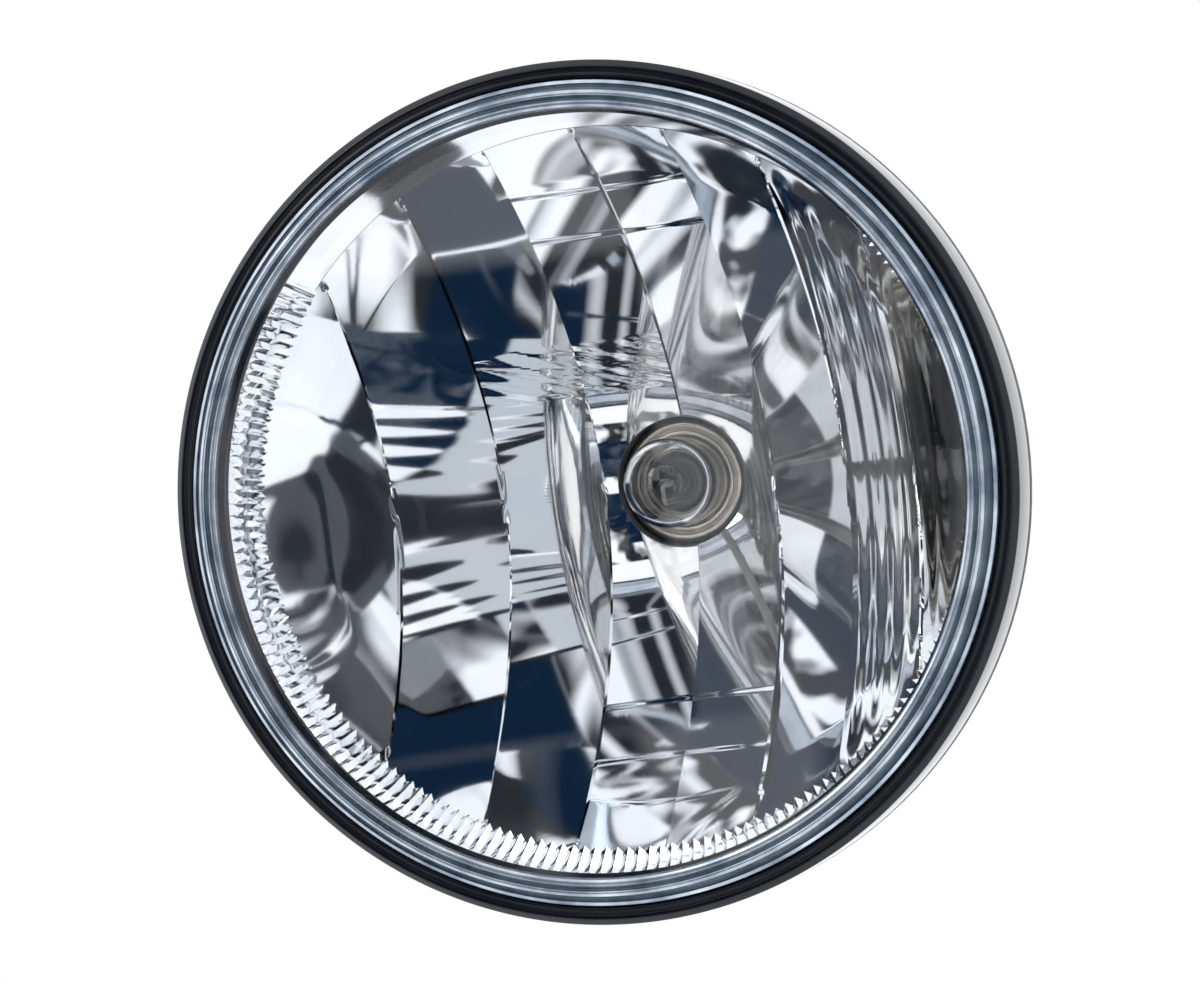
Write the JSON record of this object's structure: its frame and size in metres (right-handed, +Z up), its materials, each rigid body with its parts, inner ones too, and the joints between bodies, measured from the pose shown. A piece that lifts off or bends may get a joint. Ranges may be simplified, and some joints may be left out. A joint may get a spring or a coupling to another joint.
{
  "type": "fog light",
  "caption": "Round automotive fog lamp with a clear lens, multi-surface reflector and quarter-turn bulb, tilting in a steel yoke bracket by its aim screw.",
  "frame": {"origin": "centre of the three mounting holes, on the bracket's rear face", "axes": "+Z up, the lamp shines along -Y, +Y points back into the vehicle, +X is the left of a viewer who looks at the back, and the right of one who faces the lens"},
  "size_m": [0.114, 0.0932, 0.114],
  "materials": {
    "bracket_steel": "satin black e-coat",
    "white_nylon": "moulded natural nylon",
    "housing_black": "fine-grained moulded black",
    "rim_black": "high gloss black",
    "lens_glass": "clear polished",
    "seal_rubber": "soft bead",
    "reflector_metal": "mirror-bright metallised",
    "screw_steel": "bright zinc plated",
    "insert_brass": "turned",
    "elbow_rubber": "moulded",
    "cap_plastic": "moulded",
    "base_plastic": "glass-filled",
    "ring_rubber": "silicone",
    "blade_brass": "tin-brass",
    "collar_metal": "warm nickel-brass",
    "bulb_glass": "clear quartz",
    "filament_metal": "dark tungsten",
    "wire_metal": "molybdenum wire"
  },
  "bodies": {
    "bracket": {"mounting_bracket": "bracket_steel", "pivot_bushings": "white_nylon", "adjuster_bushing": "white_nylon"},
    "lamp": {"housing": "housing_black", "retaining_ring": "rim_black", "lens": "lens_glass", "lens_seal": "seal_rubber", "reflector": "reflector_metal", "reflector_screws": "screw_steel", "pivot_inserts": "insert_brass", "pivot_screws": "screw_steel", "pivot_washers": "screw_steel", "vent_elbow": "elbow_rubber", "vent_cap": "cap_plastic", "adjuster_socket": "white_nylon"},
    "adjuster_nut": {"ball_nut": "white_nylon"},
    "adjuster_screw": {"aim_screw": "screw_steel", "screw_retainer": "screw_steel"},
    "bulb": {"bulb_base": "base_plastic", "bulb_o_ring": "ring_rubber", "terminal_blades": "blade_brass", "bulb_collar": "collar_metal", "bulb_glass": "bulb_glass", "filament": "filament_metal", "filament_supports": "wire_metal"}
  },
  "joints": [
    {"name": "aim_tilt", "type": "hinge", "parent": "bracket", "child": "lamp", "pos_m": [0, -0.043, 0], "axis": [1, 0, 0], "range_deg": [-4, 4]},
    {"name": "aim_screw_turn", "type": "hinge", "parent": "bracket", "child": "adjuster_screw", "pos_m": [0, -0.013, 0.045], "axis": [0, 1, 0], "range_deg": [-756, 756]},
    {"name": "ball_nut_swivel", "type": "hinge", "parent": "lamp", "child": "adjuster_nut", "pos_m": [0, -0.043, 0.045], "axis": [1, 0, 0], "range_deg": [-12, 12]},
    {"name": "bulb_twist", "type": "hinge", "parent": "lamp", "child": "bulb", "pos_m": [0, -0.02, 0], "axis": [0, -1, 0], "range_deg": [0, 45]}
  ],
  "couplings": [
    {"joint": "aim_screw_turn", "follows": "aim_tilt", "ratio": 188.5},
    {"joint": "ball_nut_swivel", "follows": "aim_tilt", "ratio": -1}
  ]
}
